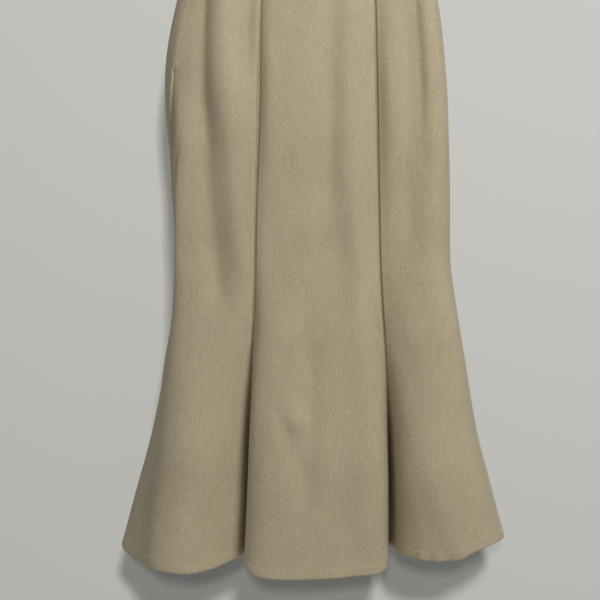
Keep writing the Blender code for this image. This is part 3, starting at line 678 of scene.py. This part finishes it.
def add_gores(material):
    """The six gores' shells."""
    places = [gore_places(gore) for gore in GORES]
    bases = [gore_point(gore, across, level)
             for gore, (across, level, _) in zip(GORES, places)]
    normals = [outward_normals(base) for base in bases]
    for index, gore in enumerate(GORES):
        after = (index + 1) % len(GORES)
        across, level, width = places[index]
        own = normals[index]
        shared = {
            0: unit(own[:, 0] + normals[index - 1][:, -1]),
            -1: unit(own[:, -1] + normals[after][:, 0]),
        }
        facing = {
            column: np.sum(shared[column] * own[:, column], axis=-1) for column in shared
        }
        flatness = {
            column: smooth_step((facing[column] - SEAM_SHARP) / (SEAM_FLAT - SEAM_SHARP))
            for column in shared
        }
        lift = crease_height(gore, across, level, width)
        lift += slack_height(index, across, level, width)
        lift *= np.sin(math.pi * across) ** FOLD_SEAM_POWER
        lift *= smooth_step((level[0] - level) / BAND_HOLD)
        lift += hem_height(gore, across, level, width)
        lift += seam_height(gore, across, level, width, flatness)
        above = level - hem_level(gore, across)
        depth = CLOTH + TURN_UP_CLOTH * smooth_step((TURN_UP - above) / HEM_STEP_WIDTH)
        base = bases[index] + shifts(gore, across, level, width, flatness)
        outer = base + own * lift[..., None]
        inner = base + own * (lift - depth)[..., None]
        for column in shared:
            way = shared[column]
            mitre = depth[:, column] / np.clip(facing[column], 1 / MITRE_LIMIT, 1)
            outer[:, column] = base[:, column] + way * lift[:, column][:, None]
            inner[:, column] = base[:, column] + way * (lift[:, column] - mitre)[:, None]
            seam, neighbour = (gore.start, 1) if column == 0 else (gore.end, -2)
            slit = unit(base[:, neighbour] - base[:, column])
            slit *= ZIP_SLIT * over_zip(seam, level[:, column])[:, None]
            outer[:, column] += slit
            inner[:, column] += slit
        grain = np.stack([(across - 0.5) * width, level], axis=-1).reshape(-1, 2)
        piece = add_mesh(
            gore.name.replace("gore", "cloth"),
            np.concatenate([outer.reshape(-1, 3), inner.reshape(-1, 3)]),
            wall_faces(*across.shape), material, np.concatenate([grain, grain]),
        )
        finish_cloth(
            piece, gore.name,
        )


# ------------------------------------------------------------------ waistband

# The band's cross section: how far each point stands out from the gores' surface, and its drop
# from the band's top edge, down the outer face and up the inner one.
BAND_IN = BAND_OUTSIDE - BAND_THICKNESS
BAND_PROFILE = [
    (BAND_OUTSIDE - 0.0012, 0.0000), (BAND_OUTSIDE - 0.0004, 0.0002),
    (BAND_OUTSIDE - 0.0001, 0.0006), (BAND_OUTSIDE, 0.0012),
    (BAND_OUTSIDE, 0.0022), (BAND_OUTSIDE, 0.0040),
    (BAND_OUTSIDE, 0.0100), (BAND_OUTSIDE, 0.0175),
    (BAND_OUTSIDE, 0.0250), (BAND_OUTSIDE, 0.0310),
    (BAND_OUTSIDE, 0.0328), (BAND_OUTSIDE, 0.0340),
    (BAND_OUTSIDE - 0.0002, 0.0347), (BAND_OUTSIDE - 0.0007, BAND_HEIGHT),
    (BAND_IN + 0.0004, BAND_HEIGHT), (BAND_IN, 0.0344),
    (BAND_IN, 0.0310), (BAND_IN, 0.0175), (BAND_IN, 0.0040), (BAND_IN, 0.0012),
    (BAND_IN + 0.0003, 0.0004),
]
BAND_COLUMNS = 61           # over each gore
BAND_SLACK = 0.0002         # height of the band's slight unevenness
BAND_WAVES = (0.017, 0.0071)    # length of each of its two waves for one radian


def add_band_half(name, gores, material):
    """Half of the waistband, a folded strip with round edges over three gores."""
    drops = np.array([drop for _, drop in BAND_PROFILE])
    grids = []
    for index, gore in enumerate(gores):
        across = np.linspace(0, 1, BAND_COLUMNS)[(1 if index else 0):]
        levels = waist_level(gore, across) - drops[:, None]
        grids.append(gore_point(gore, np.broadcast_to(across, levels.shape), levels))
    base = np.concatenate(grids, axis=1)
    down = np.broadcast_to([0.0, 0.0, -1.0], base.shape)
    out = unit(np.cross(down, np.gradient(base, axis=1)))
    run = np.concatenate([[0], np.cumsum(np.linalg.norm(np.diff(base[0], axis=0), axis=1))])
    wave = np.sin(run / BAND_WAVES[0]) + np.sin(run / BAND_WAVES[1] + 1)
    ripple = BAND_SLACK * wave[None] * np.sin(math.pi * drops / BAND_HEIGHT)[:, None]
    outside = np.array([outside for outside, _ in BAND_PROFILE])[:, None]
    points = base + out * (outside + ripple)[..., None]
    rows, columns = points.shape[:2]
    faces = []
    for row in range(rows):
        below = (row + 1) % rows
        for column in range(columns - 1):
            faces.append((
                row * columns + column, below * columns + column,
                below * columns + column + 1, row * columns + column + 1,
            ))
    faces.append(tuple(row * columns for row in reversed(range(rows))))
    faces.append(tuple(row * columns + columns - 1 for row in range(rows)))
    grain = np.stack(np.broadcast_arrays(drops[:, None], run[None]), axis=-1).reshape(-1, 2)
    piece = add_mesh("band_" + name, points.reshape(-1, 3), faces, material, grain)
    finish_cloth(
        piece, "waistband_" + name,
    )


def add_waistband(material):
    """The band's two halves, which meet at the side seams."""
    add_band_half("front", GORES[:3], material)
    add_band_half("back", GORES[3:], material)


# ------------------------------------------------------------------ materials

class Nodes:
    """Adds shader nodes to one material."""

    def __init__(self, name):
        self.material = bpy.data.materials.new(name)
        self.material.use_nodes = True
        self.tree = self.material.node_tree
        self.shader = self.tree.nodes["Principled BSDF"]

    def add(self, kind, inputs=None, **settings):
        """A node with its settings, and its inputs set or linked by name or number."""
        node = self.tree.nodes.new(kind)
        for key, value in settings.items():
            setattr(node, key, value)
        for key, value in (inputs or {}).items():
            self.put(node, key, value)
        return node

    def put(self, node, key, value):
        """One input set to a value, or linked to another node's output."""
        if isinstance(value, bpy.types.NodeSocket):
            self.tree.links.new(value, node.inputs[key])
        else:
            node.inputs[key].default_value = value

    def math(self, operation, a, b=0.0):
        """The result of one operation."""
        return self.add("ShaderNodeMath", {0: a, 1: b}, operation=operation).outputs[0]

    def noise(self, vector, grain):
        """Noise from 0 to 1 over the cloth, with one of the grains below."""
        scaled = self.add("ShaderNodeMapping", {
            "Vector": vector, "Location": (grain.shift, grain.shift * SHIFT_ALONG, 0),
            "Scale": (1 / grain.across, 1 / grain.along, 1),
        }).outputs[0]
        return self.add("ShaderNodeTexNoise", {
            "Vector": scaled, "Scale": 1.0, "Detail": grain.detail, "Roughness": grain.roughness,
        }, noise_dimensions="2D").outputs["Fac"]

    def blend(self, share, first, second):
        """A mix of two colours."""
        mix = self.add("ShaderNodeMix", {0: share, 6: first, 7: second}, data_type="RGBA")
        return mix.outputs[2]

    def spread(self, value, low, high, to_low, to_high):
        """The value's span from low to high, mapped to another."""
        return self.add("ShaderNodeMapRange", {
            "Value": value, "From Min": low, "From Max": high,
            "To Min": to_low, "To Max": to_high,
        }).outputs[0]


CLOTH_LIGHT = (0.535, 0.458, 0.314, 1)
CLOTH_DARK = (0.390, 0.326, 0.209, 1)
CLOTH_WARM = (0.485, 0.400, 0.295, 1)
CLOTH_SLUB = (0.620, 0.550, 0.410, 1)
TAPE_LIGHT = (0.440, 0.375, 0.265, 1)
# the tape's colour darkened as painted shade, for the grooves between the ribs
TAPE_GROOVE_SHADE = (0.340, 0.285, 0.195, 1)
ENAMEL = (0.40, 0.34, 0.24, 1)
WORN_ENAMEL = (0.50, 0.48, 0.44, 1)
WEAR_SCALE = 900.0          # the worn spots' noise, in waves to a metre
WEAR_SPAN = (0.62, 0.72)    # where the worn colour fades in, in the noise's values
TOOTH_PITCH = 0.0014        # from one of the coil's teeth to the next
STITCH_LENGTH = 0.0030      # from one topstitch to the next
STITCH_LINES = (0.0022, BAND_HEIGHT - 0.0022)   # from the band's top edge
STITCH_ENDS = (0.30, 0.38)  # where a stitch ends, as shares of that length from its middle
STITCH_SIDES = (0.00018, 0.00034)   # where its thread ends sideways, from the line's middle

# The grains of the cloth's noise: their sizes across and along the warp in metres, the noise's
# detail and roughness, and how far it is shifted. The yarns also have their strengths in the
# cloth's tone and in its height.
Grain = namedtuple("Grain", "across along detail roughness shift")
SHIFT_ALONG = 1.7           # how much further it is shifted along the warp
Yarn = namedtuple("Yarn", "grain tone height")
YARNS = {
    "warp": Yarn(Grain(0.0019, 0.018, 2.0, 0.5, 3.0), 0.55, 0.6),
    "fine_warp": Yarn(Grain(0.0006, 0.006, 1.0, 0.5, 11.0), 0.3, 0.5),
    "weft": Yarn(Grain(0.012, 0.0009, 2.0, 0.6, 23.0), 0.45, 0.5),
    "streaks": Yarn(Grain(0.0026, 0.038, 2.0, 0.6, 59.0), 0.55, 0.0),
    "broad": Yarn(Grain(0.045, 0.080, 2.0, 0.5, 31.0), 0.5, 0.0),
}
WARM_YARN = Grain(0.004, 0.022, 2.0, 0.5, 47.0)
WARM_SPAN = (0.45, 0.70)    # where the warm colour fades in, in the noise's values
WARM_SHARE = 0.45
SLUBS = (Grain(0.0075, 0.0013, 1.0, 0.5, 71.0), Grain(0.0013, 0.0120, 1.0, 0.5, 83.0))
SLUB_SPAN = (0.70, 0.80)
SLUB_SHARE = 0.7
THREAD_SHARE = 0.5          # how much of the slubs' colour the topstitches have
THREAD_HEIGHT = 2.0         # and how high they stand, against the yarns


def stitch_rows(nodes, place):
    """1 on the band's topstitches and 0 between them."""
    apart = nodes.add("ShaderNodeSeparateXYZ", {0: place}).outputs
    along = nodes.math("FRACT", nodes.math("DIVIDE", apart[1], STITCH_LENGTH))
    along = nodes.math("ABSOLUTE", nodes.math("SUBTRACT", along, 0.5))
    on = nodes.spread(along, *STITCH_ENDS, 1.0, 0.0)
    rows = 0.0
    for drop in STITCH_LINES:
        away = nodes.math("ABSOLUTE", nodes.math("SUBTRACT", apart[0], drop))
        rows = nodes.math("MAXIMUM", nodes.spread(away, *STITCH_SIDES, 1.0, 0.0), rows)
    return nodes.math("MULTIPLY", rows, on)


def cloth_material(name, stitched):
    """A slubby plain weave of beige melange yarn, with rows of topstitching if it is stitched."""
    nodes = Nodes(name)
    place = nodes.add("ShaderNodeUVMap", uv_map="grain").outputs[0]
    tone = 0.5
    height = 0.0
    for yarn in YARNS.values():
        part = nodes.noise(place, yarn.grain)
        swing = nodes.math("MULTIPLY", nodes.math("SUBTRACT", part, 0.5), yarn.tone)
        tone = nodes.math("ADD", swing, tone)
        if yarn.height:
            height = nodes.math("ADD", nodes.math("MULTIPLY", part, yarn.height), height)
    colour = nodes.blend(tone, CLOTH_DARK, CLOTH_LIGHT)
    warm = nodes.spread(nodes.noise(place, WARM_YARN), *WARM_SPAN, 0.0, WARM_SHARE)
    colour = nodes.blend(warm, colour, CLOTH_WARM)
    for slub in SLUBS:
        share = nodes.spread(nodes.noise(place, slub), *SLUB_SPAN, 0.0, SLUB_SHARE)
        colour = nodes.blend(share, colour, CLOTH_SLUB)
    if stitched:
        rows = stitch_rows(nodes, place)
        colour = nodes.blend(nodes.math("MULTIPLY", rows, THREAD_SHARE), colour, CLOTH_SLUB)
        height = nodes.math("ADD", height, nodes.math("MULTIPLY", rows, THREAD_HEIGHT))
    bump = nodes.add("ShaderNodeBump", {"Strength": 0.25, "Distance": 0.0003, "Height": height})
    nodes.put(nodes.shader, "Base Color", colour)
    nodes.put(nodes.shader, "Normal", bump.outputs[0])
    nodes.put(nodes.shader, "Roughness", 0.9)
    nodes.put(nodes.shader, "Specular IOR Level", 0.25)
    nodes.put(nodes.shader, "Sheen Weight", 0.12)
    nodes.put(nodes.shader, "Sheen Roughness", 0.5)
    return nodes.material


def tape_material():
    """A twilled zip tape, with ribs across it that stand in for the coil's teeth, and shade
    painted darker into the grooves between the ribs.
    """
    nodes = Nodes("beige_zip_tape")
    place = nodes.add("ShaderNodeTexCoord").outputs["Object"]
    level = nodes.add("ShaderNodeSeparateXYZ", {0: place}).outputs[2]
    ribs = nodes.math("PINGPONG", nodes.math("DIVIDE", level, TOOTH_PITCH), 0.5)
    # painted shade: the colour goes darkest where the ribs are lowest, in the grooves between
    # them
    colour = nodes.blend(nodes.spread(ribs, 0.0, 0.5, 0.0, 1.0), TAPE_GROOVE_SHADE, TAPE_LIGHT)
    bump = nodes.add("ShaderNodeBump", {"Strength": 0.5, "Distance": 0.0004, "Height": ribs})
    nodes.put(nodes.shader, "Base Color", colour)
    nodes.put(nodes.shader, "Normal", bump.outputs[0])
    nodes.put(nodes.shader, "Roughness", 0.7)
    return nodes.material


def metal_material():
    """Beige enamel on a zinc slider, worn thin in spots."""
    nodes = Nodes("beige_enamelled_zinc")
    place = nodes.add("ShaderNodeTexCoord").outputs["Object"]
    wear = nodes.add("ShaderNodeTexNoise", {
        "Vector": place, "Scale": WEAR_SCALE, "Detail": 3.0,
    }).outputs["Fac"]
    colour = nodes.blend(nodes.spread(wear, *WEAR_SPAN, 0.0, 1.0), ENAMEL, WORN_ENAMEL)
    nodes.put(nodes.shader, "Base Color", colour)
    nodes.put(nodes.shader, "Metallic", 0.3)
    nodes.put(nodes.shader, "Roughness", nodes.spread(wear, 0.3, 0.7, 0.30, 0.45))
    return nodes.material


# ------------------------------------------------------------------ zip

METAL_EDGE = 0.00018        # how far in its edges start to be rounded
METAL_EDGE_ANGLE = 35       # the least turn of an edge that is rounded, in degrees


def finish_zip(tape, metal):
    """The tape, slider and pull keep their own shapes; the metal has soft edges."""
    for name, material in (("zip_tape", tape), ("zip_slider", metal), ("zip_pull", metal)):
        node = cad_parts[name]
        node.data.materials.clear()
        node.data.materials.append(material)
        if material is metal:
            bevel = node.modifiers.new("soft_edges", "BEVEL")
            bevel.width = METAL_EDGE
            bevel.segments = 3
            bevel.limit_method = "ANGLE"
            bevel.angle_limit = math.radians(METAL_EDGE_ANGLE)


# ------------------------------------------------------------------ stage, lights and camera

CAMERA_PLACE = (-0.00986, -1.6, -0.5246)
CAMERA_LENS = 68.1          # mm
CAMERA_SENSOR = 36          # mm
WALL_PLACE = 0.130
WALL_WIDTH = 9
WALL_HEIGHT = 7
WALL_MIDDLE = 0.5           # level of its middle
WALL_PAINT = (0.150, 0.152, 0.147, 1)
WALL_GLOW = (0.98, 1.0, 0.96, 1)
WALL_GLOW_STRENGTH = 0.048
FLOOR_LEVEL = -1.30
FLOOR_SIZE = 60
FLOOR_PAINT = (0.62, 0.62, 0.60, 1)
SKY = 0.25                  # strength of the even light from all around
SKY_COLOUR = (0.96, 0.98, 1.0, 1)
LAMP_COLOUR = (1, 0.985, 0.96)
LAMP_TARGET = (0, 0, -0.45)

# The lamps: each lights the wall alone or all but the wall.
Lamp = namedtuple("Lamp", "name place size power wall shadow")
LAMPS = [
    Lamp("key", (1.22, -1.76, 1.26), 0.9, 45, False, True),
    Lamp("top", (-0.5, -1.2, 0.9), 0.6, 4, False, True),
    Lamp("rear", (0.9, 2.8, 1.0), 1.2, 34, False, True),
    Lamp("wall_key", (0.36, -3.2, 0.85), 0.35, 260, True, True),
    Lamp("wall_front", (-0.1, -3.1, 0.10), 0.25, 72, True, True),
    Lamp("wall_side", (2.6, -1.7, 0.8), 0.8, 76, True, False),
]


def add_plane(name, width, height, middle, turn, material):
    """A flat stage piece."""
    w = width / 2
    h = height / 2
    mesh = bpy.data.meshes.new(name)
    mesh.from_pydata([(-w, -h, 0), (w, -h, 0), (w, h, 0), (-w, h, 0)], [], [(0, 1, 2, 3)])
    mesh.materials.append(material)
    piece = bpy.data.objects.new(name, mesh)
    piece.location = middle
    piece.rotation_euler = turn
    bpy.context.scene.collection.objects.link(piece)
    return piece


def paint(name, colour):
    """Matt paint."""
    nodes = Nodes(name)
    nodes.put(nodes.shader, "Base Color", colour)
    nodes.put(nodes.shader, "Roughness", 0.95)
    nodes.put(nodes.shader, "Specular IOR Level", 0.1)
    return nodes


def wall_material():
    """Pale paint with a glow of its own, which isn't seen from behind."""
    nodes = paint("wall_paint", WALL_PAINT)
    nodes.put(nodes.shader, "Emission Color", WALL_GLOW)
    nodes.put(nodes.shader, "Emission Strength", WALL_GLOW_STRENGTH)
    clear = nodes.add("ShaderNodeBsdfTransparent").outputs[0]
    behind = nodes.add("ShaderNodeNewGeometry").outputs["Backfacing"]
    mixed = nodes.add("ShaderNodeMixShader", {0: behind, 1: nodes.shader.outputs[0], 2: clear})
    nodes.put(nodes.tree.nodes["Material Output"], "Surface", mixed.outputs[0])
    return nodes.material


def add_lamp(lamp, receivers):
    """A soft square lamp that faces the skirt, and lights only its receivers."""
    data = bpy.data.lights.new(lamp.name, "AREA")
    data.shape = "SQUARE"
    data.size = lamp.size
    data.energy = lamp.power
    data.color = LAMP_COLOUR
    data.use_shadow = lamp.shadow
    light = bpy.data.objects.new(lamp.name, data)
    light.location = lamp.place
    light.rotation_mode = "QUATERNION"
    way = Vector(LAMP_TARGET) - Vector(lamp.place)
    light.rotation_quaternion = way.to_track_quat("-Z", "Y")
    bpy.context.scene.collection.objects.link(light)
    light.light_linking.receiver_collection = receivers


def receivers_of(piece, state):
    """A set of receivers that takes in the piece alone, or all but the piece."""
    receivers = bpy.data.collections.new("receivers_" + state.lower())
    receivers.objects.link(piece)
    receivers.collection_objects[0].light_linking.link_state = state
    return receivers


def add_stage():
    """Floor, wall, lights and camera."""
    wall = add_plane("wall", WALL_WIDTH, WALL_HEIGHT, (0, WALL_PLACE, WALL_MIDDLE),
                     (math.radians(90), 0, 0), wall_material())
    wall.visible_shadow = False
    wall.visible_diffuse = False
    add_plane("floor", FLOOR_SIZE, FLOOR_SIZE, (0, 0, FLOOR_LEVEL), (0, 0, 0),
              paint("floor_paint", FLOOR_PAINT).material)
    wall_only = receivers_of(wall, "INCLUDE")
    all_but_wall = receivers_of(wall, "EXCLUDE")
    for lamp in LAMPS:
        add_lamp(lamp, wall_only if lamp.wall else all_but_wall)
    world = bpy.data.worlds.new("studio")
    world.use_nodes = True
    background = world.node_tree.nodes["Background"].inputs
    background["Color"].default_value = SKY_COLOUR
    background["Strength"].default_value = SKY
    bpy.context.scene.world = world
    camera = bpy.data.objects.new("camera", bpy.data.cameras.new("camera"))
    camera.location = CAMERA_PLACE
    camera.rotation_euler = (math.radians(90), 0, 0)
    camera.data.lens = CAMERA_LENS
    camera.data.sensor_width = CAMERA_SENSOR
    bpy.context.scene.collection.objects.link(camera)
    bpy.context.scene.camera = camera
    bpy.context.scene.view_settings.view_transform = "Standard"


add_gores(cloth_material("beige_slub_weave", False))
add_waistband(cloth_material("beige_slub_weave_stitched", True))
finish_zip(tape_material(), metal_material())
add_stage()
